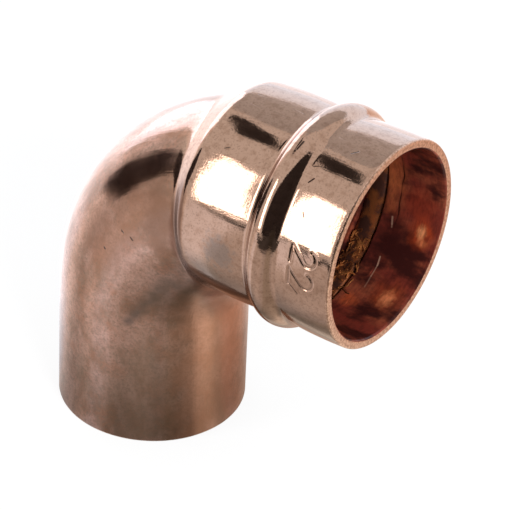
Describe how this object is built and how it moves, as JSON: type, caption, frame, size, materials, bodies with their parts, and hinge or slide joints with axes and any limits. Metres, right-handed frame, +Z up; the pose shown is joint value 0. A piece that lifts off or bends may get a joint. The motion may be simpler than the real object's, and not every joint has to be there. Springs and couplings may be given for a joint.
{
  "type": "solder ring elbow",
  "caption": "Street elbow for copper pipe: plain spigot, tight 90 degree bend and a beaded socket with its own ring of solder.",
  "frame": {"origin": "centre of the spigot's cut lower end", "axes": "+Z up along the spigot towards the bend, +X along the socket out of its mouth, +Y completes a right-handed frame"},
  "size_m": [0.0425, 0.0264, 0.0469],
  "materials": {
    "copper": "bare copper tube, drawn and bent, satin with a brown patina and brighter on the socket",
    "solder": "dull grey tin and copper solder wire"
  },
  "bodies": {
    "root": {"elbow_body": "copper", "solder_ring": "solder"}
  },
  "joints": []
}
